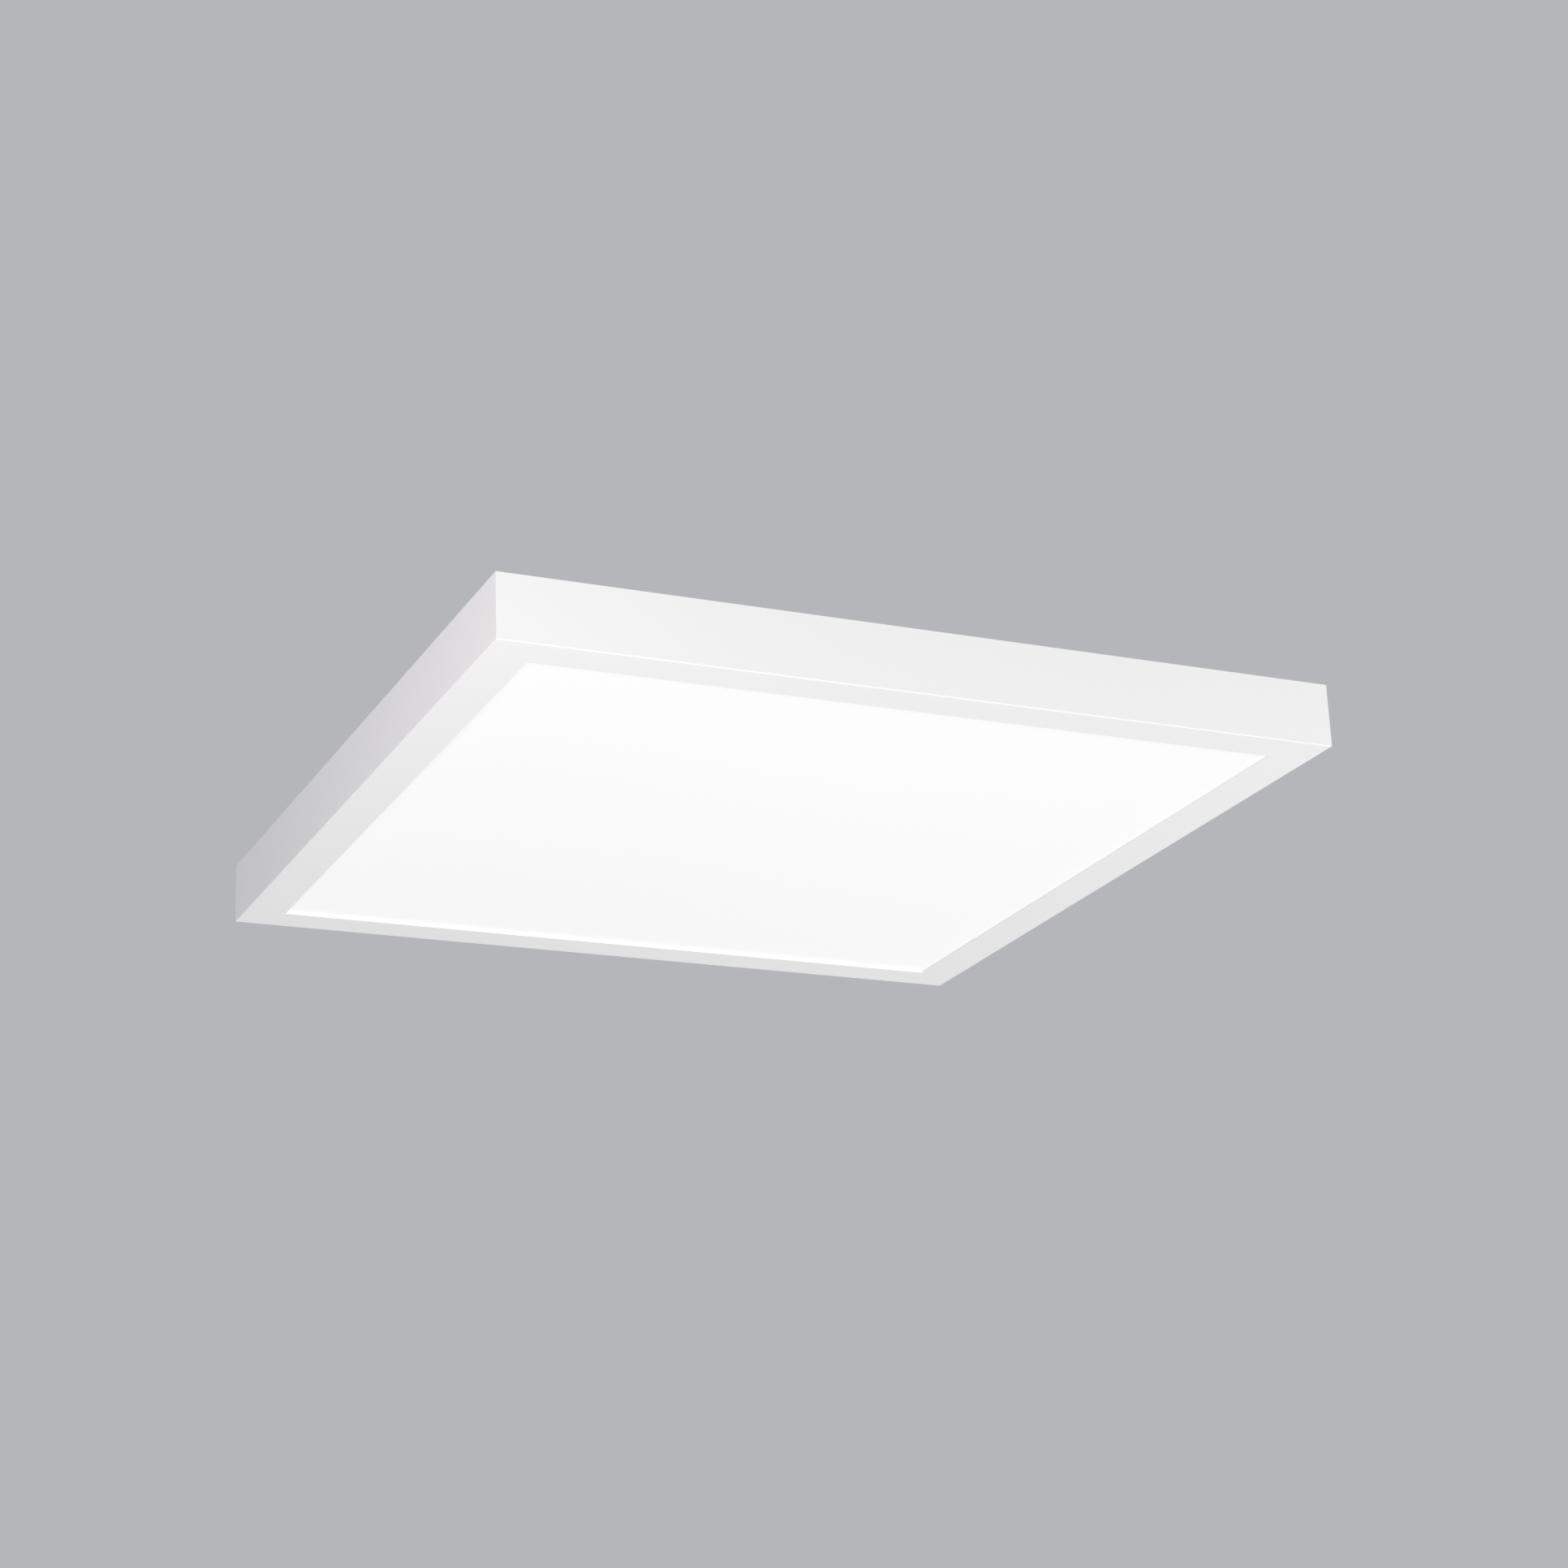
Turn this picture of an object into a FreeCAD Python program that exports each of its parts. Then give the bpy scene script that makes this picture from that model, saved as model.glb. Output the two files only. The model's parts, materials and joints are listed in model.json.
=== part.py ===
import FreeCAD, Part

import math
import os

# Square flush mount ceiling light, in millimetres.
# The ceiling is the plane z = 0 and the light hangs below it.
# X runs to the right, Y towards the hinge side, and the latch side faces -Y.
# The origin is the middle of the ceiling plate, on the ceiling.

V = FreeCAD.Vector
SIDES = (("left", -1), ("right", 1))

# ---- housing frame: one extrusion, mitred and used four times ----
WIDTH = 400.0            # outer side of the square
SIDE_HEIGHT = 30.0       # height of the side faces
SHADOW_GAP = 1.2         # from the ceiling to the rim of the frame
WALL = 1.5               # outer wall
BEZEL_WIDTH = 20.4       # flat frame seen from below
BEZEL_T = 1.2
EDGE_R = 0.5             # outer edge between side face and bezel
CHAMBER_WIDTH = 6.5      # hollow chamber that takes the corner keys
CHAMBER_HEIGHT = 7.2
CHAMBER_WALL = 1.2       # top of the chamber
WEB = 1.5                # inner wall of the chamber
KEY_LEG = 34.0           # length of each leg of a corner key
KEY_CLEAR = 0.1
KEY_SCREW_GAP = 14.5     # from the end of a key to the nearest back plate screw

# ---- optical stack ----
DIFFUSER_T = 2.0
DIFFUSER_GAP = 0.7       # from the diffuser's edge to the web
GUIDE_T = 3.0
REFLECTOR_T = 0.3
FOAM_INSET = 23.2        # from the edge of the light guide to the foam
BOARD_T = 1.0            # LED circuit board, on edge
BOARD_HEIGHT = 5.8
BOARD_LENGTH = 374.0
LED_COUNT = 54
LED_PITCH = 6.8
LED_LENGTH = 4.0
LED_HEIGHT = 1.4
LED_T = 0.8
LED_GAP = 0.5            # from the LEDs to the edge of the light guide

# ---- back plate ----
BACK_T = 0.6
BACK_GAP = 1.0           # from the back plate's edge to the wall
BACK_SCREW_R = 1.4
BACK_SCREW_HEAD_R = 2.6
BACK_SCREW_HEAD_H = 1.6
BACK_SCREW_LENGTH = 5.0
SCREW_CLEAR = 0.05       # round a threaded shank
RECESS_LENGTH = 3.2      # cross recess of every screw head
RECESS_WIDTH = 0.7
RECESS_DEPTH = 0.9

# ---- ceiling plate ----
PLATE_T = 1.0
PLATE_SIDE_INSET = 12.0  # from the frame's outer face to the plate
PLATE_FRONT_INSET = 6.0
PLATE_REAR_INSET = 12.0
FLANGE_DEPTH = 8.0
FLANGE_INSET = 22.0      # the flanges stop short of the plate's front and rear edges
MOUNT_SPACING_X = 300.0
MOUNT_SPACING_Y = 300.0
MOUNT_SLOT_LENGTH = 14.0
MOUNT_SLOT_R = 2.5
BOX_SLOT_SPACING = 79.5  # takes junction box screws 70 to 89 mm apart
BOX_SLOT_LENGTH = 24.0
BOX_SLOT_R = 2.25
ENTRY_R = 11.0           # hole for the cable grommet
GROMMET_BORE_R = 5.0
GROMMET_FLANGE_R = 13.5
GROMMET_FLANGE_T = 1.5
GROMMET_NOSE_R = 8.0
GROMMET_NOSE_H = 3.5
GROMMET_CLEAR = 0.1
BEAD_DEPTH = 2.0         # beads pressed into the plate to stiffen it; their sides slope at 45 degrees
BEAD_R = 5.0             # half the width of a bead at the top
SIDE_BEAD_LENGTH = 200.0
SIDE_BEAD_X = 65.0       # beads along Y, each side of the middle
END_BEAD_LENGTH = 200.0
END_BEAD_Y = 125.0       # beads along X, each side of the middle

# ---- hinge at the rear edge ----
HINGE_FROM_SCREW = 35.0  # middle of a hinge, from the outermost back plate screw
HINGE_INSET = 5.2        # axis, from the frame's outer face
HINGE_DROP = 13.0        # axis, below the ceiling
HINGE_PIN_R = 1.5
HINGE_PIN_HEAD_R = 2.4
HINGE_PIN_HEAD_T = 1.0
HOOK_CLEAR = 0.06        # radial running fit of the pin in the hook
HOOK_T = 1.5
HOOK_WIDTH = 12.0
HOOK_REACH = 14.0        # from the axis to the far face of the hook's leg
HOOK_FOOT = 16.0
CLEVIS_T = 1.5
CLEVIS_GAP = 0.5         # from the hook's side to the ear
CLEVIS_WIDTH = 44.0
CLEVIS_DEPTH = 11.0
EAR_R = 3.0
EAR_CLEAR = 0.02         # round the pin in the ear
EAR_REAR = 1.4           # ear's straight part, behind the axis
RIVET_R = 1.5
RIVET_HEAD_R = 2.8
RIVET_HEAD_T = 1.0
RIVET_CLEAR = 0.05
MOUNT_RIVET_X = 4.0      # rivets of a hook or bracket, each side of its middle

# ---- latches at the front edge ----
LATCH_FROM_SCREW = 30.0  # middle of a latch, from the outermost back plate screw
LATCH_INSET = 13.0       # pivot, from the frame's outer face
LATCH_DROP = 5.0         # pivot, below the ceiling
LATCH_PIN_R = 1.2
LATCH_PIN_HEAD_R = 1.9
LATCH_PIN_HEAD_T = 0.8
LATCH_PIN_CLEAR = 0.06
LATCH_BOSS_R = 2.2
LATCH_WIDTH = 10.3
LATCH_ARM = 12.0         # from the pivot down to the lever's end
NOSE_TOP = 6.3           # nose, below the pivot
NOSE_REACH = 9.2         # nose, in front of the pivot
ARM_FRONT = 3.4
BRACKET_T = 1.2
BRACKET_WIDTH = 18.0
BRACKET_FRONT = 4.9      # from the pivot to the front of the bracket
BRACKET_REAR = 13.0
BRACKET_STOP_DROP = 3.2  # bottom of the bracket's front lip, below the pivot
BRACKET_RIVET_REAR = 8.5
STRIKE_T = 1.2
STRIKE_WIDTH = 24.0
STRIKE_WALL_GAP = 0.7    # from the strike to the frame's wall
STRIKE_LIP = 2.0
STRIKE_BASE = 9.0
CATCH_GAP = 0.3          # from the nose to the strike's lip
STRIKE_RIVET_X = 8.0
SPRING_WIRE_R = 0.3
SPRING_R = 2.2           # middle of the wire
SPRING_PITCH = 0.8
SPRING_TURNS = 3.5
SPRING_LEG = 6.0
SPRING_BEND = 0.7
SPRING_PRESS = 0.4       # where the leg presses, as a share of the lever's arm

# ---- driver ----
DRIVER_LENGTH = 150.0
DRIVER_WIDTH = 42.0
DRIVER_HEIGHT = 16.0
DRIVER_Y = -90.0
CASE_WALL = 1.2
LID_RIM = 2.0
LID_CLEAR = 0.15
TAB_LENGTH = 9.0
TAB_T = 1.6
TAB_WIDTH = 12.0
TAB_Y = 12.0             # tabs, each side of the driver's middle
BOSS_R = 3.0
BOSS_HEIGHT = 1.5
BOARD_EDGE = 0.6         # from the driver board to the case
DRIVER_BOARD_T = 1.6
CONNECTOR_LENGTH = 8.0
CONNECTOR_WIDTH = 20.0
CONNECTOR_HEIGHT = 7.0
CONNECTOR_INSET = 7.0    # outer face of each connector, from the end of the driver
DRIVER_SCREW_R = 1.5
DRIVER_SCREW_HEAD_R = 2.8
DRIVER_SCREW_HEAD_H = 1.8
CORE_LENGTH = 22.0
CORE_WIDTH = 20.0
CORE_HEIGHT = 9.0
CORE_X = 6.0
WINDING_SIDE = 1.6       # how far the winding stands out of the core
CAPACITOR_R = 4.0
CAPACITOR_LENGTH = 16.0
CAPACITOR_GAP = 22.0     # middle of a capacitor, from the nearest connector
VENT_COUNT = 9           # slots in the lid, over the transformer
VENT_PITCH = 4.0
VENT_LENGTH = 18.0
VENT_WIDTH = 1.4

# ---- terminal block ----
BLOCK_X = -108.0
BLOCK_Y = -33.0
BLOCK_DEPTH = 22.0
BLOCK_HEIGHT = 8.5
POLES = ("live", "neutral", "earth")
POLE_PITCH = 8.0
POLE_SLOT = 6.2
SUPPLY_HOLE_R = 1.9
SUPPLY_HOLE_DEPTH = 9.0
LEVER_WIDTH = 5.8
LEVER_LENGTH = 10.0
LEVER_RISE = 1.2         # lever's top face, above its axis
LEVER_SINK = 0.9
LEVER_BOSS_R = 1.5
LEVER_DROP = 1.5         # axis, below the top of the block
LEVER_FROM_BACK = 9.0    # axis, from the block's rear face
LEVER_CLEAR = 0.3
TRUNNION_R = 0.8
TRUNNION_CLEAR = 0.08
TRUNNION_LENGTH = 0.6

# ---- internal leads ----
LEAD_R = 0.75
LEAD_HOLE_CLEAR = 0.2
LEAD_LIFT = 0.05         # lead above the back plate
LEAD_BEND = 7.5
LEAD_TURN = 2.2          # at the short bends near a socket
LEAD_PITCH = 4.0
LEAD_DEPTH = 4.0         # how far a lead sits in the terminal block
DROP_START = 4.0         # from a socket's face to where a lead begins to drop
DROP_LENGTH = 9.0
LEAD_CLEAR_X = 30.0      # where a lead turns, beyond the end of the driver
SLOT_RAMP = 8.0          # length of the slope through the back plate
SLOT_START = 17.0        # start of the slope, from the LED board
SLOT_WIDTH = 9.0
CLIP_LENGTH = 5.0
CLIP_WALL = 1.6
CLIP_CLEAR = 0.15
EARTH_FROM_END = 13.0    # earth screw, from the end of the driver
EARTH_FROM_SIDE = 5.0    # earth screw, from the side of the driver
LUG_R = 3.6
LUG_T = 0.8
LUG_BARREL = 6.0
LUG_BARREL_R = 1.4
EARTH_SCREW_R = 1.5
EARTH_HEAD_R = 2.8
EARTH_HEAD_H = 1.8

# ---- derived places ----
HALF = WIDTH / 2
INNER_WALL = HALF - WALL
RIM_Z = -SHADOW_GAP
FACE_Z = RIM_Z - SIDE_HEIGHT
LIP_Z = FACE_Z + BEZEL_T
CHAMBER_TOP_Z = LIP_Z + CHAMBER_HEIGHT + CHAMBER_WALL
BACK_Z = CHAMBER_TOP_Z + BACK_T
PLATE_Z = -PLATE_T
WEB_OUTER = WALL + CHAMBER_WIDTH
WEB_INNER = WEB_OUTER + WEB
SCREW_LINE = HALF - WALL - CHAMBER_WIDTH / 2
SCREW_REACH = HALF - WALL - KEY_LEG - KEY_SCREW_GAP
HINGE_X = SCREW_REACH - HINGE_FROM_SCREW
LATCH_X = SCREW_REACH - LATCH_FROM_SCREW
GUIDE_Z = LIP_Z + DIFFUSER_T
REFLECTOR_Z = GUIDE_Z + GUIDE_T
FOAM_Z = REFLECTOR_Z + REFLECTOR_T
BOARD_FACE = HALF - WEB_INNER - BOARD_T
GUIDE_SIDE = 2 * (BOARD_FACE - LED_T - LED_GAP)
FOAM_SIDE = GUIDE_SIDE - 2 * FOAM_INSET
DIFFUSER_SIDE = 2 * (HALF - WEB_INNER - DIFFUSER_GAP)
PLATE_FRONT = -HALF + PLATE_FRONT_INSET
PLATE_REAR = HALF - PLATE_REAR_INSET
HINGE_Y = HALF - HINGE_INSET
HINGE_Z = -HINGE_DROP
EAR_INNER = HOOK_WIDTH / 2 + CLEVIS_GAP
EAR_OUTER = EAR_INNER + CLEVIS_T
CLEVIS_RIVET_X = (EAR_OUTER + CLEVIS_WIDTH / 2) / 2
LATCH_Y = -HALF + LATCH_INSET
LATCH_Z = -LATCH_DROP
STRIKE_FRONT = -INNER_WALL + STRIKE_WALL_GAP
STRIKE_TOP = LATCH_Z - NOSE_TOP + CATCH_GAP + STRIKE_T
STRIKE_RIVET_Y = STRIKE_FRONT + STRIKE_T + (STRIKE_BASE - STRIKE_T) / 2
CASE_TOP = BACK_Z + DRIVER_HEIGHT
DRIVER_BOARD_Z = BACK_Z + CASE_WALL + BOSS_HEIGHT
PARTS_Z = DRIVER_BOARD_Z + DRIVER_BOARD_T
SOCKET_Z = PARTS_Z + CONNECTOR_HEIGHT / 2
CONNECTOR_X = DRIVER_LENGTH / 2 - CONNECTOR_INSET
CAPACITOR_X = CONNECTOR_X - CONNECTOR_LENGTH - CAPACITOR_GAP
LEAD_Z = BACK_Z + LEAD_R + LEAD_LIFT
UNDER_Z = (FOAM_Z + CHAMBER_TOP_Z) / 2
BLOCK_TOP = BACK_Z + BLOCK_HEIGHT
BLOCK_REAR = BLOCK_Y - BLOCK_DEPTH / 2
BLOCK_LEAD_Z = BACK_Z + BLOCK_HEIGHT / 2
EARTH_X = -DRIVER_LENGTH / 2 + EARTH_FROM_END
EARTH_Y = DRIVER_Y + DRIVER_WIDTH / 2 + EARTH_FROM_SIDE
LEVER_Y = BLOCK_REAR + LEVER_FROM_BACK
LEVER_Z = BLOCK_TOP - LEVER_DROP


# ---- shape helpers ----
def box(x0, x1, y0, y1, z0, z1):
    return Part.makeBox(x1 - x0, y1 - y0, z1 - z0, V(x0, y0, z0))


def sheet(side, z0, z1):
    return box(-side / 2, side / 2, -side / 2, side / 2, z0, z1)


def rod_x(radius, x0, x1, y, z):
    return Part.makeCylinder(radius, x1 - x0, V(x0, y, z), V(1, 0, 0))


def rod_y(radius, x, y0, y1, z):
    return Part.makeCylinder(radius, y1 - y0, V(x, y0, z), V(0, 1, 0))


def rod_z(radius, x, y, z0, z1):
    return Part.makeCylinder(radius, z1 - z0, V(x, y, z0), V(0, 0, 1))


def prism_x(outline, x0, x1):
    """A solid from an outline of (y, z) points."""
    points = [V(x0, y, z) for y, z in outline]
    face = Part.Face(Part.makePolygon(points + points[:1]))
    return face.extrude(V(x1 - x0, 0, 0))


def prism_z(outline, z0, z1):
    """A solid from an outline of (x, y) points."""
    points = [V(x, y, z0) for x, y in outline]
    face = Part.Face(Part.makePolygon(points + points[:1]))
    return face.extrude(V(0, 0, z1 - z0))


def join(first, *others):
    return first.fuse(list(others)).removeSplitter()


def slot_x(length, radius, x, y, z0, z1):
    """A round-ended slot that runs along X."""
    half = length / 2 - radius
    ends = [rod_z(radius, x + end * half, y, z0, z1) for end in (-1, 1)]
    return join(box(x - half, x + half, y - radius, y + radius, z0, z1), *ends)


def turned(shape, degrees):
    copy = shape.copy()
    copy.rotate(V(0, 0, 0), V(0, 0, 1), degrees)
    return copy


def head_z(radius, height, x, y, seat, direction):
    """A round head with a chamfered face, up (1) or down (-1) from its seat."""
    axis = V(0, 0, direction)
    rim = Part.makeCylinder(radius, height / 2, V(x, y, seat), axis)
    face = Part.makeCone(radius, radius - height / 2, height / 2,
                         V(x, y, seat + direction * height / 2), axis)
    return join(rim, face)


def screw(radius, head_radius, head_height, x, y, tip, seat):
    """A screw with a cross recess in its head."""
    top = seat + head_height
    body = join(rod_z(radius, x, y, tip, seat), head_z(head_radius, head_height, x, y, seat, 1))
    half = RECESS_LENGTH / 2
    bar = box(x - half, x + half, y - RECESS_WIDTH / 2, y + RECESS_WIDTH / 2, top - RECESS_DEPTH, top)
    cross_bar = box(x - RECESS_WIDTH / 2, x + RECESS_WIDTH / 2, y - half, y + half, top - RECESS_DEPTH, top)
    return body.cut([bar, cross_bar])


def stadium(length, radius, z):
    """A round-ended outline that runs along X."""
    half = length / 2 - radius
    edges = []
    for side in (1, -1):
        x = side * half
        start, tip, end = V(x, -side * radius, z), V(x + side * radius, 0, z), V(x, side * radius, z)
        edges.append(Part.Arc(start, tip, end).toShape())
        edges.append(Part.LineSegment(end, V(-x, side * radius, z)).toShape())
    return Part.Wire(edges)


def pressed_beads(grow, top):
    """The beads from their top down, wider by grow all round."""
    forms = []
    for length, x, y, degrees in bead_places():
        rims = [stadium(length + 2 * grow, BEAD_R + grow, top),
                stadium(length + 2 * grow - 2 * BEAD_DEPTH, BEAD_R + grow - BEAD_DEPTH, top - BEAD_DEPTH)]
        form = turned(Part.makeLoft(rims, True, True), degrees)
        form.translate(V(x, y, 0))
        forms.append(form)
    return forms


def path(points, bends):
    """Straight runs with a tangent arc of the given radius at each inner point."""
    points = [V(*point) for point in points]
    edges = []
    start = points[0]
    for before, corner, after, bend in zip(points, points[1:], points[2:], bends):
        back = (before - corner).normalize()
        ahead = (after - corner).normalize()
        half_turn = (math.pi - back.getAngle(ahead)) / 2
        reach = bend * math.tan(half_turn)
        bisector = (back + ahead).normalize()
        middle = corner + bisector * (bend / math.cos(half_turn) - bend)
        enter = corner + back * reach
        leave = corner + ahead * reach
        edges.append(Part.LineSegment(start, enter).toShape())
        edges.append(Part.Arc(enter, middle, leave).toShape())
        start = leave
    edges.append(Part.LineSegment(start, points[-1]).toShape())
    return Part.Wire(edges)


def lead(points, bends):
    """A round lead along a path, whose volume is compared with section times length."""
    route = path(points, bends)
    first = V(*points[0])
    ring = Part.makeCircle(LEAD_R, first, V(*points[1]) - first)
    tube = route.makePipeShell([Part.Wire([ring])], True, False)
    expected = math.pi * LEAD_R ** 2 * route.Length
    print("lead length %.1f, volume ratio %.4f" % (route.Length, tube.Volume / expected))
    return tube


# ---- frame ----
def rail_profile():
    """Section of the extrusion: distance inward from the outer face, and height."""
    outer = [
        (EDGE_R, FACE_Z), (BEZEL_WIDTH, FACE_Z), (BEZEL_WIDTH, LIP_Z), (WEB_INNER, LIP_Z),
        (WEB_INNER, CHAMBER_TOP_Z), (WALL, CHAMBER_TOP_Z), (WALL, RIM_Z), (0.0, RIM_Z),
        (0.0, FACE_Z + EDGE_R),
    ]
    points = [V(0, -HALF + u, z) for u, z in outer]
    edges = [Part.LineSegment(a, b).toShape() for a, b in zip(points, points[1:])]
    bow = EDGE_R * (1 - math.sqrt(0.5))
    middle = V(0, -HALF + bow, FACE_Z + bow)
    edges.append(Part.Arc(points[-1], middle, points[0]).toShape())
    return Part.Face(Part.Wire(edges))


def rail(rivet_places):
    """A rail along the front edge, which is then turned to its own edge."""
    face = rail_profile()
    face.translate(V(-HALF, 0, 0))
    bar = face.extrude(V(WIDTH, 0, 0))
    chamber = box(-HALF, HALF, -HALF + WALL, -HALF + WEB_OUTER, LIP_Z, CHAMBER_TOP_Z - CHAMBER_WALL)
    mitre = prism_z(
        [(-HALF, -HALF), (HALF, -HALF), (HALF - BEZEL_WIDTH, -HALF + BEZEL_WIDTH),
         (-HALF + BEZEL_WIDTH, -HALF + BEZEL_WIDTH)], FACE_Z, RIM_Z)
    holes = [
        rod_z(BACK_SCREW_R + SCREW_CLEAR, x, -SCREW_LINE, CHAMBER_TOP_Z - CHAMBER_WALL, CHAMBER_TOP_Z)
        for x in screw_places()
    ]
    holes += [
        rod_z(RIVET_R + RIVET_CLEAR, x, -abs(y), CHAMBER_TOP_Z - CHAMBER_WALL, CHAMBER_TOP_Z)
        for x, y in rivet_places
    ]
    return bar.cut(chamber).common(mitre).cut(holes)


def screw_places():
    return [-SCREW_REACH, 0.0, SCREW_REACH]


def corner_key():
    """The front left key; an L that fills both chambers at a mitre."""
    outer = -HALF + WALL + KEY_CLEAR
    inner = -HALF + WEB_OUTER - KEY_CLEAR
    end = -HALF + WALL + KEY_LEG
    outline = [(outer, outer), (end, outer), (end, inner), (inner, inner), (inner, end), (outer, end)]
    return prism_z(outline, LIP_Z + KEY_CLEAR, CHAMBER_TOP_Z - CHAMBER_WALL - KEY_CLEAR)


# ---- optical stack ----
def led_board(side):
    face = side * BOARD_FACE
    back = face + side * BOARD_T
    top = CHAMBER_TOP_Z - LEAD_LIFT
    return box(min(face, back), max(face, back), -BOARD_LENGTH / 2, BOARD_LENGTH / 2,
               top - BOARD_HEIGHT, top)


def led_packages(side):
    face = side * BOARD_FACE
    front = face - side * LED_T
    middle = GUIDE_Z + GUIDE_T / 2
    first = -LED_PITCH * (LED_COUNT - 1) / 2
    leds = []
    for index in range(LED_COUNT):
        y = first + index * LED_PITCH
        leds.append(box(min(face, front), max(face, front), y - LED_LENGTH / 2, y + LED_LENGTH / 2,
                        middle - LED_HEIGHT / 2, middle + LED_HEIGHT / 2))
    return Part.makeCompound(leds)


# ---- back plate ----
def lead_slot_lines():
    """Where the pair of leads to each LED board crosses the back plate: side and middle."""
    right = DRIVER_Y + LEAD_PITCH
    left = DRIVER_Y - DRIVER_WIDTH / 2 - CLIP_WALL - 2 * LEAD_PITCH
    return ((1, right), (-1, left))


def back_plate():
    side = 2 * (INNER_WALL - BACK_GAP)
    plate = sheet(side, CHAMBER_TOP_Z, BACK_Z)
    cuts = [rod_z(BACK_SCREW_R + SCREW_CLEAR, x, y, CHAMBER_TOP_Z, BACK_Z) for x, y in back_screw_places()]
    cuts += [rod_z(RIVET_R + RIVET_CLEAR, x, y, CHAMBER_TOP_Z, BACK_Z)
             for x, y in strike_rivet_places() + clevis_rivet_places()]
    cuts += [rod_z(DRIVER_SCREW_R + SCREW_CLEAR, x, y, CHAMBER_TOP_Z, BACK_Z)
             for x, y in driver_screw_places()]
    cuts.append(rod_z(EARTH_SCREW_R + SCREW_CLEAR, EARTH_X, EARTH_Y, CHAMBER_TOP_Z, BACK_Z))
    for direction, y in lead_slot_lines():
        near = direction * (BOARD_FACE - SLOT_START - LEAD_BEND / 2)
        far = direction * (BOARD_FACE - SLOT_START + SLOT_RAMP)
        cuts.append(box(min(near, far), max(near, far), y - SLOT_WIDTH / 2, y + SLOT_WIDTH / 2,
                        CHAMBER_TOP_Z, BACK_Z))
    return plate.cut(cuts)


def back_screw_places():
    places = []
    for along in screw_places():
        places += [(along, -SCREW_LINE), (along, SCREW_LINE), (-SCREW_LINE, along), (SCREW_LINE, along)]
    return places


def back_plate_screws():
    return Part.makeCompound([
        screw(BACK_SCREW_R, BACK_SCREW_HEAD_R, BACK_SCREW_HEAD_H, x, y, BACK_Z - BACK_SCREW_LENGTH, BACK_Z)
        for x, y in back_screw_places()
    ])


# ---- ceiling plate ----
def mount_slot_places():
    return [(x, y) for x in (-MOUNT_SPACING_X / 2, MOUNT_SPACING_X / 2)
            for y in (-MOUNT_SPACING_Y / 2, MOUNT_SPACING_Y / 2)]


def mount_rivet_places():
    """Rivets of the hinge hooks and of the latch brackets."""
    hook_y = HINGE_Y - HOOK_REACH - HOOK_FOOT / 2
    bracket_y = LATCH_Y + BRACKET_RIVET_REAR
    places = []
    for _, side in SIDES:
        for step in (-MOUNT_RIVET_X, MOUNT_RIVET_X):
            places.append((side * HINGE_X + step, hook_y, HOOK_T))
            places.append((side * LATCH_X + step, bracket_y, BRACKET_T))
    return places


def bead_places():
    """Length, middle and direction of each bead in the ceiling plate."""
    along_y = [(SIDE_BEAD_LENGTH, side * SIDE_BEAD_X, 0, 90) for _, side in SIDES]
    along_x = [(END_BEAD_LENGTH, 0, side * END_BEAD_Y, 0) for _, side in SIDES]
    return along_y + along_x


def ceiling_plate():
    half_x = HALF - PLATE_SIDE_INSET
    plate = box(-half_x, half_x, PLATE_FRONT, PLATE_REAR, PLATE_Z, 0)
    flanges = [
        box(min(side * half_x, side * (half_x - PLATE_T)), max(side * half_x, side * (half_x - PLATE_T)),
            PLATE_FRONT + FLANGE_INSET, PLATE_REAR - FLANGE_INSET, PLATE_Z - FLANGE_DEPTH, PLATE_Z)
        for _, side in SIDES
    ]
    cuts = [rod_z(ENTRY_R, 0, 0, PLATE_Z, 0)]
    cuts += [slot_x(MOUNT_SLOT_LENGTH, MOUNT_SLOT_R, x, y, PLATE_Z, 0) for x, y in mount_slot_places()]
    cuts += [slot_x(BOX_SLOT_LENGTH, BOX_SLOT_R, side * BOX_SLOT_SPACING / 2, 0, PLATE_Z, 0)
             for _, side in SIDES]
    cuts += [rod_z(RIVET_R + RIVET_CLEAR, x, y, PLATE_Z, 0) for x, y, _ in mount_rivet_places()]
    cuts += pressed_beads(0, 0)
    side_growth = PLATE_T * (math.sqrt(2) - 1)
    return join(plate, *flanges, *pressed_beads(side_growth, PLATE_Z)).cut(cuts)


def cable_grommet():
    sleeve = rod_z(ENTRY_R - GROMMET_CLEAR, 0, 0, PLATE_Z, 0)
    flange = rod_z(GROMMET_FLANGE_R, 0, 0, PLATE_Z - GROMMET_FLANGE_T, PLATE_Z)
    nose_z = PLATE_Z - GROMMET_FLANGE_T
    nose = Part.makeCone(GROMMET_NOSE_R, ENTRY_R, GROMMET_NOSE_H, V(0, 0, nose_z - GROMMET_NOSE_H))
    bore = rod_z(GROMMET_BORE_R, 0, 0, nose_z - GROMMET_NOSE_H, 0)
    return join(sleeve, flange, nose).cut(bore)


def mount_rivets():
    rivets = []
    for x, y, thickness in mount_rivet_places():
        seat = PLATE_Z - thickness
        rivets.append(join(rod_z(RIVET_R, x, y, seat, 0),
                           head_z(RIVET_HEAD_R, RIVET_HEAD_T, x, y, seat, -1)))
    return Part.makeCompound(rivets)


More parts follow.
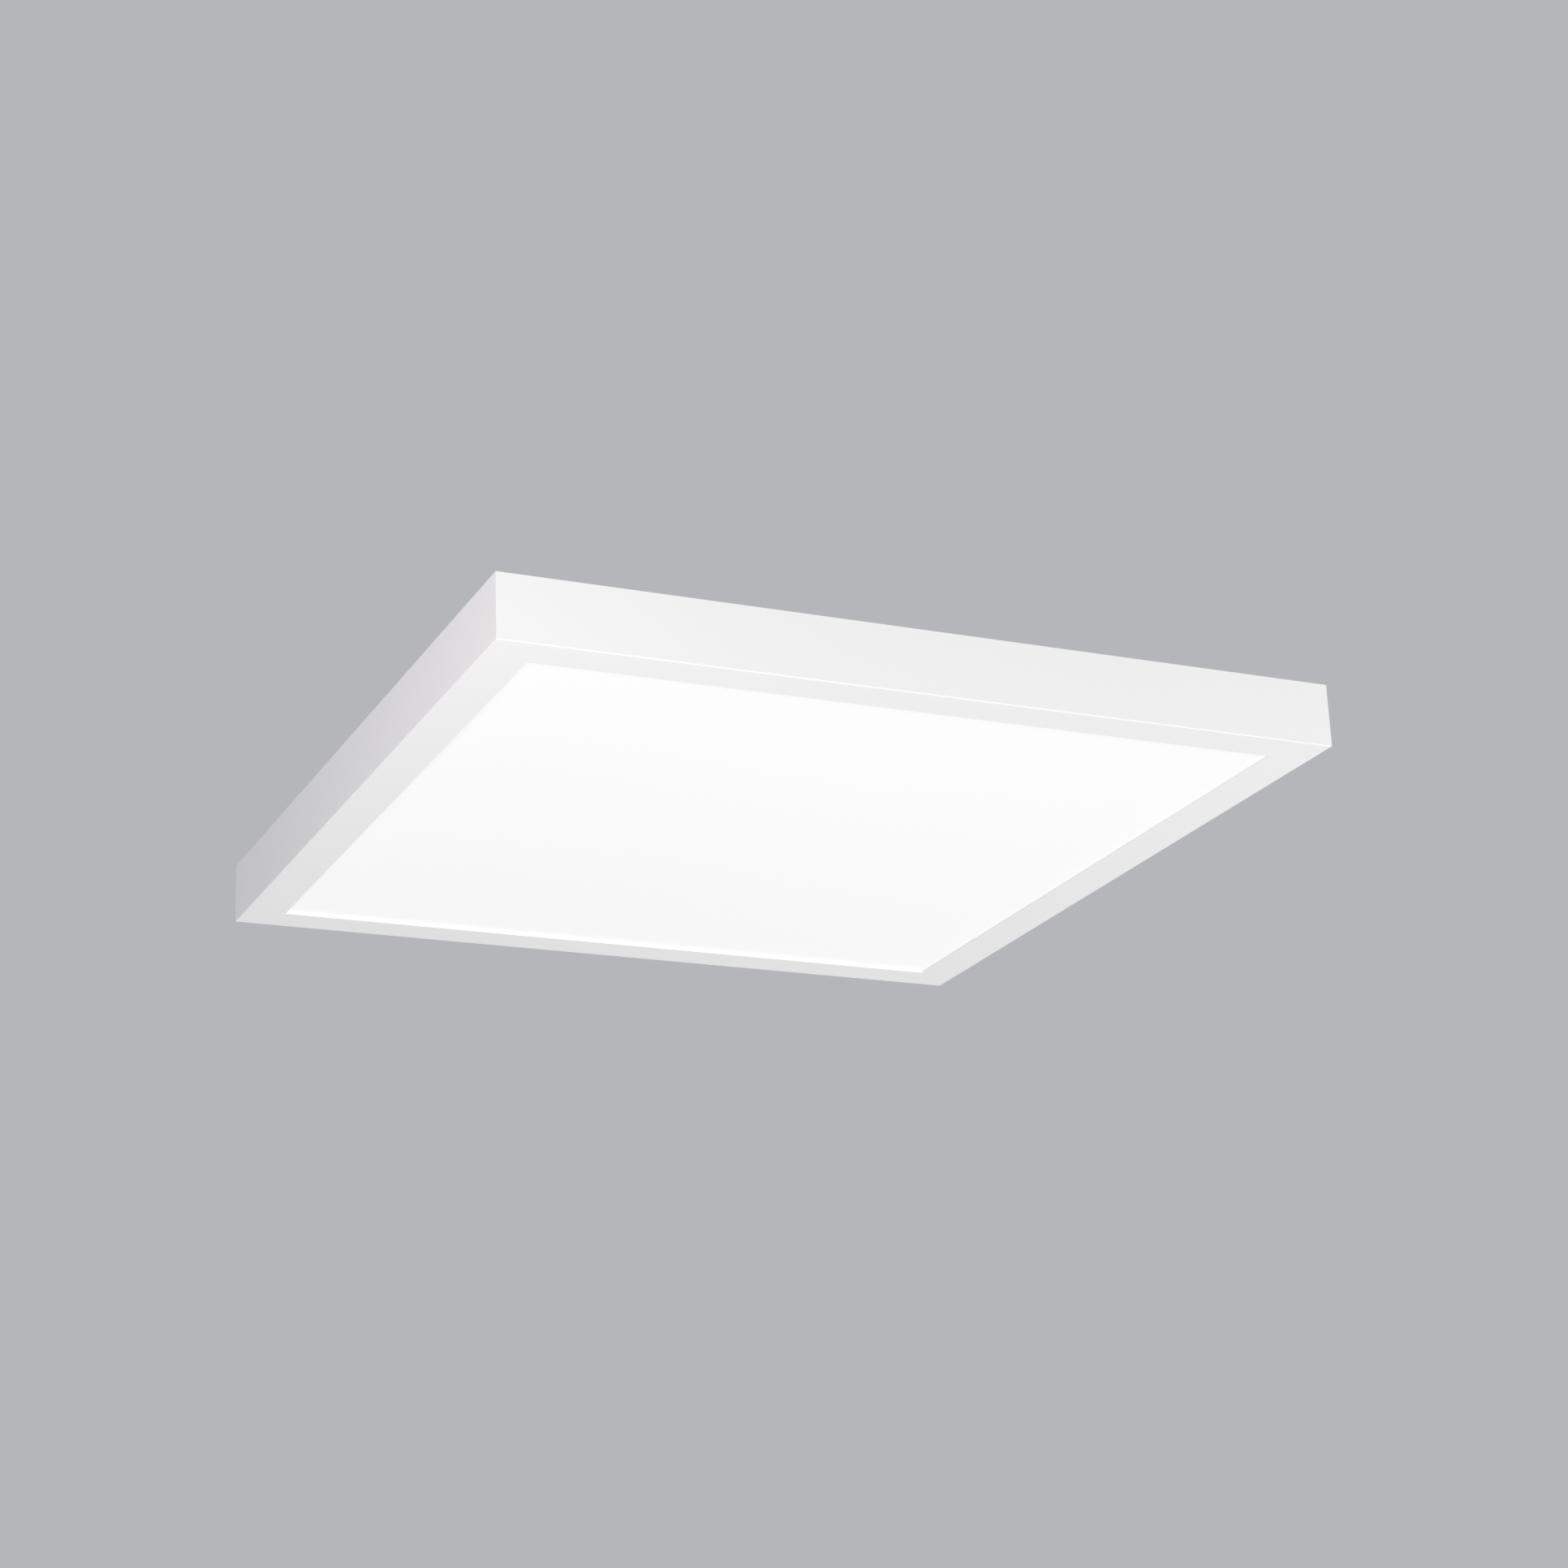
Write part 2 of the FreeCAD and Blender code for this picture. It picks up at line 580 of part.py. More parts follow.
# ---- hinge ----
def hinge_hook(side):
    """A bent strip: foot on the plate, leg down, arm to the rear and an open cradle for the pin."""
    x0 = side * HINGE_X - HOOK_WIDTH / 2
    x1 = side * HINGE_X + HOOK_WIDTH / 2
    cradle_r = HINGE_PIN_R + HOOK_CLEAR
    leg_y = HINGE_Y - HOOK_REACH
    foot = box(x0, x1, leg_y - HOOK_FOOT, leg_y + HOOK_T, PLATE_Z - HOOK_T, PLATE_Z)
    leg = box(x0, x1, leg_y, leg_y + HOOK_T, HINGE_Z - HOOK_T, PLATE_Z - HOOK_T)
    arm = box(x0, x1, leg_y, HINGE_Y - cradle_r, HINGE_Z - HOOK_T, HINGE_Z)
    cradle = rod_x(cradle_r + HOOK_T, x0, x1, HINGE_Y, HINGE_Z)
    above = box(x0, x1, HINGE_Y - EAR_R * 2, HINGE_Y + EAR_R * 2, HINGE_Z, HINGE_Z + EAR_R * 2)
    holes = [rod_z(RIVET_R + RIVET_CLEAR, x, y, PLATE_Z - HOOK_T, PLATE_Z)
             for x, y, _ in mount_rivet_places()]
    bent = join(foot, leg, arm, cradle.cut(above))
    return bent.cut([rod_x(cradle_r, x0, x1, HINGE_Y, HINGE_Z)] + holes)


def clevis_rivet_places():
    return [(side * HINGE_X + step, SCREW_LINE)
            for _, side in SIDES for step in (-CLEVIS_RIVET_X, CLEVIS_RIVET_X)]


def hinge_clevis(side):
    """Two ears on a base over the rear rail, which carry the hinge pin."""
    middle = side * HINGE_X
    rear = INNER_WALL - BACK_GAP
    top = BACK_Z + CLEVIS_T
    pieces = [box(middle - CLEVIS_WIDTH / 2, middle + CLEVIS_WIDTH / 2, rear - CLEVIS_DEPTH, rear,
                  BACK_Z, top)]
    for ear in (-1, 1):
        x0 = min(middle + ear * EAR_INNER, middle + ear * EAR_OUTER)
        pieces.append(box(x0, x0 + CLEVIS_T, HINGE_Y - EAR_R, HINGE_Y + EAR_REAR, BACK_Z, HINGE_Z))
        pieces.append(rod_x(EAR_R, x0, x0 + CLEVIS_T, HINGE_Y, HINGE_Z))
    hole = rod_x(HINGE_PIN_R + EAR_CLEAR, middle - CLEVIS_WIDTH / 2, middle + CLEVIS_WIDTH / 2,
                 HINGE_Y, HINGE_Z)
    rivet_holes = [rod_z(RIVET_R + RIVET_CLEAR, x, y, BACK_Z, top) for x, y in clevis_rivet_places()]
    return join(*pieces).cut([hole] + rivet_holes)


def headed_pin(radius, head_radius, head_length, x0, x1, y, z):
    """A pin whose heads start at x0 and x1."""
    return join(rod_x(radius, x0, x1, y, z),
                rod_x(head_radius, x0 - head_length, x0, y, z),
                rod_x(head_radius, x1, x1 + head_length, y, z))


def hinge_pin(side):
    reach = EAR_OUTER + EAR_CLEAR
    return headed_pin(HINGE_PIN_R, HINGE_PIN_HEAD_R, HINGE_PIN_HEAD_T,
                      side * HINGE_X - reach, side * HINGE_X + reach, HINGE_Y, HINGE_Z)


def panel_rivets(places, thickness):
    """Blind rivets through a foot, the back plate and the top of a rail's chamber."""
    rivets = []
    for x, y in places:
        seat = BACK_Z + thickness
        rivets.append(join(rod_z(RIVET_R, x, y, CHAMBER_TOP_Z - CHAMBER_WALL, seat),
                           head_z(RIVET_HEAD_R, RIVET_HEAD_T, x, y, seat, 1)))
    return Part.makeCompound(rivets)


# ---- latches ----
def latch_bracket(side):
    x0 = side * LATCH_X - BRACKET_WIDTH / 2
    x1 = side * LATCH_X + BRACKET_WIDTH / 2
    front = LATCH_Y - BRACKET_FRONT
    under = PLATE_Z - BRACKET_T
    base = box(x0, x1, front, LATCH_Y + BRACKET_REAR, under, PLATE_Z)
    stop = box(x0 + 2 * BRACKET_T, x1 - 2 * BRACKET_T, front, front + BRACKET_T,
               LATCH_Z - BRACKET_STOP_DROP, under)
    pieces = [base, stop]
    for near in (x0, x1 - BRACKET_T):
        pieces.append(box(near, near + BRACKET_T, LATCH_Y - BRACKET_FRONT + 2 * BRACKET_T,
                          LATCH_Y + LATCH_BOSS_R, LATCH_Z - LATCH_BOSS_R, under))
    hole = rod_x(LATCH_PIN_R + LATCH_PIN_CLEAR, x0, x1, LATCH_Y, LATCH_Z)
    rivet_holes = [rod_z(RIVET_R + RIVET_CLEAR, x, y, under, PLATE_Z) for x, y, _ in mount_rivet_places()]
    return join(*pieces).cut([hole] + rivet_holes)


def latch_pins():
    reach = BRACKET_WIDTH / 2 + EAR_CLEAR
    return Part.makeCompound([
        headed_pin(LATCH_PIN_R, LATCH_PIN_HEAD_R, LATCH_PIN_HEAD_T,
                   side * LATCH_X - reach, side * LATCH_X + reach, LATCH_Y, LATCH_Z)
        for _, side in SIDES
    ])


def lever_span(side):
    """The lever fills the bracket from one ear; the spring's coil has the rest."""
    x1 = side * LATCH_X + BRACKET_WIDTH / 2 - BRACKET_T - CLEVIS_GAP
    return x1 - LATCH_WIDTH, x1


def latch_lever(side):
    x0, x1 = lever_span(side)
    outline = [
        (-LATCH_BOSS_R, 0.0), (-ARM_FRONT, -LATCH_BOSS_R), (-ARM_FRONT, -NOSE_TOP),
        (-NOSE_REACH, -NOSE_TOP), (-NOSE_REACH, -NOSE_TOP - CATCH_GAP * 2),
        (-NOSE_REACH + ARM_FRONT, -LATCH_ARM), (-LATCH_BOSS_R, -LATCH_ARM), (LATCH_BOSS_R, 0.0),
    ]
    arm = prism_x([(LATCH_Y + y, LATCH_Z + z) for y, z in outline], x0, x1)
    boss = rod_x(LATCH_BOSS_R, x0, x1, LATCH_Y, LATCH_Z)
    bore = rod_x(LATCH_PIN_R + LATCH_PIN_CLEAR, x0, x1, LATCH_Y, LATCH_Z)
    return join(arm, boss).cut(bore)


def latch_spring(side):
    """A torsion spring round the pin: one leg under the bracket, the other behind the lever."""
    lever_x0, _ = lever_span(side)
    length = SPRING_PITCH * SPRING_TURNS
    coil = Part.makeHelix(SPRING_PITCH, length, SPRING_R)
    coil.rotate(V(0, 0, 0), V(0, 1, 0), 90)
    coil.rotate(V(0, 0, 0), V(1, 0, 0), 180)
    coil.translate(V(lever_x0 - length - SPRING_WIRE_R - CLEVIS_GAP, LATCH_Y, LATCH_Z))
    turns = coil.Edges[0]
    top = turns.valueAt(turns.FirstParameter)
    bottom = turns.valueAt(turns.LastParameter)
    leg_end = top - turns.tangentAt(turns.FirstParameter) * SPRING_LEG
    ahead = turns.tangentAt(turns.LastParameter)
    press_drop = LATCH_ARM * SPRING_PRESS
    lever_back = LATCH_BOSS_R * (1 - 2 * press_drop / LATCH_ARM)
    corner = bottom + ahead * (lever_back + 2 * SPRING_WIRE_R)
    press = V(corner.x, corner.y, LATCH_Z - press_drop)
    across = V(lever_x0 + LATCH_WIDTH / 2, corner.y, LATCH_Z - press_drop)
    legs = path([bottom, corner, press, across], [SPRING_BEND, SPRING_BEND])
    route = Part.Wire([Part.LineSegment(leg_end, top).toShape(), turns] + legs.Edges)
    ring = Part.makeCircle(SPRING_WIRE_R, leg_end, top - leg_end)
    return route.makePipeShell([Part.Wire([ring])], True, False)


def strike_rivet_places():
    return [(side * LATCH_X + step, STRIKE_RIVET_Y)
            for _, side in SIDES for step in (-STRIKE_RIVET_X, STRIKE_RIVET_X)]


def latch_strike(side):
    x0 = side * LATCH_X - STRIKE_WIDTH / 2
    x1 = side * LATCH_X + STRIKE_WIDTH / 2
    foot = box(x0, x1, STRIKE_FRONT, STRIKE_FRONT + STRIKE_BASE, BACK_Z, BACK_Z + STRIKE_T)
    upright = box(x0, x1, STRIKE_FRONT, STRIKE_FRONT + STRIKE_T, BACK_Z, STRIKE_TOP)
    lip = box(x0, x1, STRIKE_FRONT, STRIKE_FRONT + STRIKE_T + STRIKE_LIP, STRIKE_TOP - STRIKE_T, STRIKE_TOP)
    holes = [rod_z(RIVET_R + RIVET_CLEAR, x, y, BACK_Z, BACK_Z + STRIKE_T) for x, y in strike_rivet_places()]
    return join(foot, upright, lip).cut(holes)


# ---- driver ----
def driver_box(inset, z0, z1):
    return box(-DRIVER_LENGTH / 2 + inset, DRIVER_LENGTH / 2 - inset,
               DRIVER_Y - DRIVER_WIDTH / 2 + inset, DRIVER_Y + DRIVER_WIDTH / 2 - inset, z0, z1)


def driver_screw_places():
    return [(side * (DRIVER_LENGTH / 2 + TAB_LENGTH / 2), DRIVER_Y + side * TAB_Y) for _, side in SIDES]


def board_posts():
    return [(x, y) for x in (-DRIVER_LENGTH / 2 + 2 * BOSS_R, DRIVER_LENGTH / 2 - 2 * BOSS_R)
            for y in (DRIVER_Y - DRIVER_WIDTH / 2 + 2 * BOSS_R, DRIVER_Y + DRIVER_WIDTH / 2 - 2 * BOSS_R)]


def driver_case():
    inside = driver_box(CASE_WALL, BACK_Z + CASE_WALL, CASE_TOP)
    shell = driver_box(0, BACK_Z, CASE_TOP - CASE_WALL).cut(inside)
    pieces = [shell]
    for (x, y), (_, side) in zip(driver_screw_places(), SIDES):
        start = side * DRIVER_LENGTH / 2
        end = start + side * TAB_LENGTH
        pieces.append(box(min(start, end), max(start, end), y - TAB_WIDTH / 2, y + TAB_WIDTH / 2,
                          BACK_Z, BACK_Z + TAB_T))
    pieces += [rod_z(BOSS_R, x, y, BACK_Z + CASE_WALL, DRIVER_BOARD_Z) for x, y in board_posts()]
    cuts = [rod_z(DRIVER_SCREW_R + SCREW_CLEAR, x, y, BACK_Z, BACK_Z + TAB_T)
            for x, y in driver_screw_places()]
    for x, y in lead_socket_places():
        end = math.copysign(DRIVER_LENGTH / 2, x)
        cuts.append(rod_x(LEAD_R + LEAD_HOLE_CLEAR, min(x, end), max(x, end), y, SOCKET_Z))
    return join(*pieces).cut(cuts)


def driver_lid():
    cover = driver_box(0, CASE_TOP - CASE_WALL, CASE_TOP)
    inset = CASE_WALL + LID_CLEAR
    rim = driver_box(inset, CASE_TOP - CASE_WALL - LID_RIM, CASE_TOP - CASE_WALL)
    core = driver_box(inset + CASE_WALL, CASE_TOP - CASE_WALL - LID_RIM, CASE_TOP - CASE_WALL)
    first = CORE_X - VENT_PITCH * (VENT_COUNT - 1) / 2
    vents = []
    for index in range(VENT_COUNT):
        x = first + index * VENT_PITCH
        vents.append(box(x - VENT_WIDTH / 2, x + VENT_WIDTH / 2, DRIVER_Y - VENT_LENGTH / 2,
                         DRIVER_Y + VENT_LENGTH / 2, CASE_TOP - CASE_WALL, CASE_TOP))
    return join(cover, rim.cut(core)).cut(vents)


def driver_board():
    return driver_box(CASE_WALL + BOARD_EDGE, DRIVER_BOARD_Z, PARTS_Z)


def driver_screws():
    return Part.makeCompound([
        screw(DRIVER_SCREW_R, DRIVER_SCREW_HEAD_R, DRIVER_SCREW_HEAD_H, x, y, CHAMBER_TOP_Z, BACK_Z + TAB_T)
        for x, y in driver_screw_places()
    ])


def transformer():
    core = box(CORE_X - CORE_LENGTH / 2, CORE_X + CORE_LENGTH / 2,
               DRIVER_Y - CORE_WIDTH / 2, DRIVER_Y + CORE_WIDTH / 2, PARTS_Z, PARTS_Z + CORE_HEIGHT)
    winding = box(CORE_X - CORE_LENGTH / 4, CORE_X + CORE_LENGTH / 4,
                  DRIVER_Y - CORE_WIDTH / 2 - WINDING_SIDE, DRIVER_Y + CORE_WIDTH / 2 + WINDING_SIDE,
                  PARTS_Z, PARTS_Z + CORE_HEIGHT - WINDING_SIDE)
    return join(core, winding)


def capacitors():
    return Part.makeCompound([
        rod_y(CAPACITOR_R, side * CAPACITOR_X, DRIVER_Y - CAPACITOR_LENGTH / 2,
              DRIVER_Y + CAPACITOR_LENGTH / 2, PARTS_Z + CAPACITOR_R)
        for _, side in SIDES
    ])


def lead_socket_places():
    """Sockets of the driver: output pair for each side, then the two mains leads."""
    right = [DRIVER_Y + LEAD_PITCH / 2 + step * LEAD_PITCH for step in (0, 1)]
    left = [DRIVER_Y - LEAD_PITCH / 2 - step * LEAD_PITCH for step in (0, 1)]
    mains = [DRIVER_Y - LEAD_PITCH / 2 - LEAD_PITCH, DRIVER_Y + LEAD_PITCH / 2 + LEAD_PITCH]
    return [(CONNECTOR_X, y) for y in right + left] + [(-CONNECTOR_X, y) for y in mains]


def connector(side):
    face = side * CONNECTOR_X
    back = face - side * CONNECTOR_LENGTH
    return box(min(face, back), max(face, back), DRIVER_Y - CONNECTOR_WIDTH / 2,
               DRIVER_Y + CONNECTOR_WIDTH / 2, PARTS_Z, PARTS_Z + CONNECTOR_HEIGHT)


# ---- terminal block ----
def pole_x(index):
    return BLOCK_X + (index - (len(POLES) - 1) / 2) * POLE_PITCH


def terminal_block():
    half_x = len(POLES) * POLE_PITCH / 2
    front = BLOCK_REAR + BLOCK_DEPTH
    body = box(BLOCK_X - half_x, BLOCK_X + half_x, BLOCK_REAR, front, BACK_Z, BLOCK_TOP)
    floor = LEVER_Z - LEVER_BOSS_R - LEVER_CLEAR
    cuts = []
    for index in range(len(POLES)):
        x = pole_x(index)
        cuts.append(box(x - POLE_SLOT / 2, x + POLE_SLOT / 2, LEVER_Y - LEVER_BOSS_R - LEVER_CLEAR,
                        LEVER_Y + LEVER_LENGTH + LEVER_CLEAR, LEVER_Z - LEVER_SINK - LEVER_CLEAR, BLOCK_TOP))
        cuts.append(box(x - POLE_SLOT / 2, x + POLE_SLOT / 2, LEVER_Y - LEVER_BOSS_R - LEVER_CLEAR,
                        LEVER_Y + LEVER_BOSS_R + LEVER_CLEAR, floor, BLOCK_TOP))
        reach = LEVER_WIDTH / 2 + TRUNNION_LENGTH + TRUNNION_CLEAR
        cuts.append(rod_x(TRUNNION_R + TRUNNION_CLEAR, x - reach, x + reach, LEVER_Y, LEVER_Z))
        cuts.append(rod_y(SUPPLY_HOLE_R, x, front - SUPPLY_HOLE_DEPTH, front,
                          BACK_Z + SUPPLY_HOLE_R + CASE_WALL))
        cuts.append(rod_y(LEAD_R + LEAD_HOLE_CLEAR, x, BLOCK_REAR, BLOCK_REAR + LEAD_DEPTH + LEAD_HOLE_CLEAR,
                          BLOCK_LEAD_Z))
    return body.cut(cuts)


def terminal_lever(index):
    x = pole_x(index)
    x0 = x - LEVER_WIDTH / 2
    x1 = x + LEVER_WIDTH / 2
    blade = box(x0, x1, LEVER_Y, LEVER_Y + LEVER_LENGTH, LEVER_Z - LEVER_SINK, LEVER_Z + LEVER_RISE)
    boss = rod_x(LEVER_BOSS_R, x0, x1, LEVER_Y, LEVER_Z)
    pivot = rod_x(TRUNNION_R, x0 - TRUNNION_LENGTH, x1 + TRUNNION_LENGTH, LEVER_Y, LEVER_Z)
    return join(blade, boss, pivot)


# ---- leads ----
def mains_lead(index, socket_y):
    """From a pole of the terminal block, down to the back plate and into the driver."""
    x = pole_x(index)
    face = BLOCK_REAR
    socket = -DRIVER_LENGTH / 2
    points = [
        (x, face + LEAD_DEPTH, BLOCK_LEAD_Z), (x, face - DROP_START, BLOCK_LEAD_Z),
        (x, face - DROP_START - DROP_LENGTH, LEAD_Z), (x, socket_y, LEAD_Z),
        (socket - DROP_START - DROP_LENGTH, socket_y, LEAD_Z), (socket - DROP_START, socket_y, SOCKET_Z),
        (-CONNECTOR_X, socket_y, SOCKET_Z),
    ]
    return lead(points, [LEAD_BEND, LEAD_BEND, LEAD_BEND, LEAD_BEND, LEAD_BEND])


def earth_lead():
    x = pole_x(2)
    face = BLOCK_REAR
    points = [
        (x, face + LEAD_DEPTH, BLOCK_LEAD_Z), (x, face - DROP_START, BLOCK_LEAD_Z),
        (x, face - DROP_START - DROP_LENGTH / 2, LEAD_Z + LUG_T), (x, EARTH_Y, LEAD_Z + LUG_T),
        (EARTH_X - LUG_R - LUG_BARREL / 2, EARTH_Y, LEAD_Z + LUG_T),
    ]
    return lead(points, [LEAD_TURN, LEAD_TURN, LEAD_BEND])


def earth_lug():
    z = BACK_Z + LUG_T
    ring = rod_z(LUG_R, EARTH_X, EARTH_Y, BACK_Z, z)
    start = EARTH_X - LUG_R - LUG_BARREL
    neck = box(EARTH_X - LUG_R - LUG_BARREL / 4, EARTH_X - LUG_R / 2, EARTH_Y - LUG_BARREL_R,
               EARTH_Y + LUG_BARREL_R, BACK_Z, z)
    barrel = rod_x(LUG_BARREL_R, start, start + LUG_BARREL, EARTH_Y, LEAD_Z + LUG_T)
    barrel = barrel.cut(box(start, start + LUG_BARREL, EARTH_Y - LUG_BARREL_R, EARTH_Y + LUG_BARREL_R,
                            BACK_Z - LUG_BARREL_R, BACK_Z))
    bore = rod_x(LEAD_R + LEAD_HOLE_CLEAR / 2, start, start + LUG_BARREL / 2, EARTH_Y, LEAD_Z + LUG_T)
    screw_hole = rod_z(EARTH_SCREW_R + SCREW_CLEAR, EARTH_X, EARTH_Y, BACK_Z, z)
    return join(ring, neck, barrel).cut([bore, screw_hole])


def earth_screw():
    return screw(EARTH_SCREW_R, EARTH_HEAD_R, EARTH_HEAD_H, EARTH_X, EARTH_Y, CHAMBER_TOP_Z, BACK_Z + LUG_T)


def slot_end(side, y):
    """The last points of a lead to an LED board: down through the back plate's slot."""
    start = side * (BOARD_FACE - SLOT_START)
    return [(start, y, LEAD_Z), (start + side * SLOT_RAMP, y, UNDER_Z), (side * BOARD_FACE, y, UNDER_Z)]


def right_lead(y):
    socket = DRIVER_LENGTH / 2
    points = [(CONNECTOR_X, y, SOCKET_Z), (socket + DROP_START, y, SOCKET_Z),
              (socket + DROP_START + DROP_LENGTH, y, LEAD_Z)] + slot_end(1, y)
    return lead(points, [LEAD_BEND] * 4)


def left_lead(step):
    """Out of the right end of the driver, round its front side and across to the left board."""
    _, slot_y = lead_slot_lines()[1]
    y = DRIVER_Y - LEAD_PITCH / 2 - step * LEAD_PITCH
    turn_x = DRIVER_LENGTH / 2 + LEAD_CLEAR_X - step * LEAD_PITCH
    run_y = slot_y - LEAD_PITCH / 2 + step * LEAD_PITCH
    socket = DRIVER_LENGTH / 2
    points = [(CONNECTOR_X, y, SOCKET_Z), (socket + DROP_START, y, SOCKET_Z),
              (socket + DROP_START + DROP_LENGTH, y, LEAD_Z), (turn_x, y, LEAD_Z),
              (turn_x, run_y, LEAD_Z)] + slot_end(-1, run_y)
    return lead(points, [LEAD_BEND, LEAD_BEND / 2, LEAD_BEND, LEAD_BEND, LEAD_BEND, LEAD_BEND])


def right_line(step):
    return DRIVER_Y + LEAD_PITCH / 2 + step * LEAD_PITCH


def led_leads(step):
    """One colour: the lead to the right board and the lead to the left board."""
    return Part.makeCompound([right_lead(right_line(step)), left_lead(step)])


def clip(x, y):
    """A saddle over a pair of leads that run along X."""
    half = LEAD_PITCH / 2 + LEAD_R + CLIP_CLEAR
    top = LEAD_Z + LEAD_R + CLIP_CLEAR
    body = box(x - CLIP_LENGTH / 2, x + CLIP_LENGTH / 2, y - half - CLIP_WALL, y + half + CLIP_WALL,
               BACK_Z, top + CLIP_WALL)
    return body.cut(box(x - CLIP_LENGTH / 2, x + CLIP_LENGTH / 2, y - half, y + half, BACK_Z, top))


def lead_clips():
    (_, right), (_, left) = lead_slot_lines()
    places = [(HINGE_X, right), (BOARD_FACE - 2 * SLOT_START, right)]
    places += [(x, left) for x in (HINGE_X / 2, -HINGE_X / 2, -BOARD_FACE + 2 * SLOT_START)]
    return Part.makeCompound([clip(x, y) for x, y in places])


# ---- all nodes ----
def nodes():
    parts = {}
    parts["rail_front"] = rail(strike_rivet_places())
    parts["rail_right"] = turned(rail([]), 90)
    parts["rail_rear"] = turned(rail(clevis_rivet_places()), 180)
    parts["rail_left"] = turned(rail([]), 270)
    key = corner_key()
    for count, name in enumerate(("front_left", "front_right", "rear_right", "rear_left")):
        parts["corner_key_" + name] = turned(key, 90 * count)
    parts["diffuser"] = sheet(DIFFUSER_SIDE, LIP_Z, GUIDE_Z)
    parts["light_guide"] = sheet(GUIDE_SIDE, GUIDE_Z, REFLECTOR_Z)
    parts["reflector_sheet"] = sheet(GUIDE_SIDE, REFLECTOR_Z, FOAM_Z)
    parts["foam_pad"] = sheet(FOAM_SIDE, FOAM_Z, CHAMBER_TOP_Z)
    parts["back_plate"] = back_plate()
    parts["back_plate_screws"] = back_plate_screws()
    parts["ceiling_plate"] = ceiling_plate()
    parts["cable_grommet"] = cable_grommet()
    parts["mount_rivets"] = mount_rivets()
    parts["clevis_rivets"] = panel_rivets(clevis_rivet_places(), CLEVIS_T)
    parts["strike_rivets"] = panel_rivets(strike_rivet_places(), STRIKE_T)
    parts["latch_pins"] = latch_pins()
    for name, side in SIDES:
        parts["led_board_" + name] = led_board(side)
        parts["led_packages_" + name] = led_packages(side)
        parts["hinge_hook_" + name] = hinge_hook(side)
        parts["hinge_clevis_" + name] = hinge_clevis(side)
        parts["hinge_pin_" + name] = hinge_pin(side)
        parts["latch_bracket_" + name] = latch_bracket(side)
        parts["latch_lever_" + name] = latch_lever(side)
        parts["latch_spring_" + name] = latch_spring(side)
        parts["latch_strike_" + name] = latch_strike(side)
    parts["driver_case"] = driver_case()
    parts["driver_lid"] = driver_lid()
    parts["driver_board"] = driver_board()
    parts["driver_screws"] = driver_screws()
    parts["transformer"] = transformer()
    parts["capacitors"] = capacitors()
    parts["input_connector"] = connector(-1)
    parts["output_connector"] = connector(1)
    parts["terminal_block"] = terminal_block()
    for index, pole in enumerate(POLES):
        parts["terminal_lever_" + pole] = terminal_lever(index)
    mains_sockets = [y for x, y in lead_socket_places() if x < 0]
    parts["mains_lead_live"] = mains_lead(0, mains_sockets[0])
    parts["mains_lead_neutral"] = mains_lead(1, mains_sockets[1])
    parts["earth_lead"] = earth_lead()
    parts["earth_lug"] = earth_lug()
    parts["earth_screw"] = earth_screw()
    parts["led_leads_red"] = led_leads(0)
    parts["led_leads_black"] = led_leads(1)
    parts["lead_clips"] = lead_clips()
    return parts


os.makedirs("parts", exist_ok=True)
for node, shape in nodes().items():
    if not shape.isValid() or not shape.Solids:
        print("NOT VALID:", node)
    shape.exportStep("parts/" + node + ".step")
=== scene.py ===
import json
import math

import bpy
from mathutils import Matrix, Vector


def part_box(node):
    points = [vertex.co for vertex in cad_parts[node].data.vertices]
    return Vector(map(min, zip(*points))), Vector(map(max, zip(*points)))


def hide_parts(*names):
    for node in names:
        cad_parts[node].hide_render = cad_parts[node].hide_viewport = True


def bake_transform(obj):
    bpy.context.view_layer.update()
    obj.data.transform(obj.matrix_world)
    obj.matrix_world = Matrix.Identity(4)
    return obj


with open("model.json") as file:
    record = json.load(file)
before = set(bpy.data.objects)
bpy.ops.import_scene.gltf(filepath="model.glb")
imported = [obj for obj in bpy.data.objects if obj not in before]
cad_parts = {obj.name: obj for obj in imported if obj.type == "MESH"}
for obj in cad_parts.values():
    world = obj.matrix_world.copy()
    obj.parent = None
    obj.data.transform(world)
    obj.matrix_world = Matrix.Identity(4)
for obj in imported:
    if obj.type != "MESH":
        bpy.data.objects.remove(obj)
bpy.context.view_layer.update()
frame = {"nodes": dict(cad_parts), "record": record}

# Looks of the square flush mount ceiling light, in metres.
# The ceiling is the plane z = 0 and the light hangs below it, seen from below and in front.

MM = 0.001

# ---- camera, at the photograph's viewing angle ----
CAMERA_PLACE = (-0.6240, -1.3991, -0.5526)
CAMERA_HEADING = 24.646   # degrees from +Y towards +X
CAMERA_PITCH = 19.715     # degrees above the horizon
CAMERA_ROLL = -2.229      # degrees about the line of sight
CAMERA_LENS = 77.26       # mm
SENSOR_WIDTH = 36.0       # mm

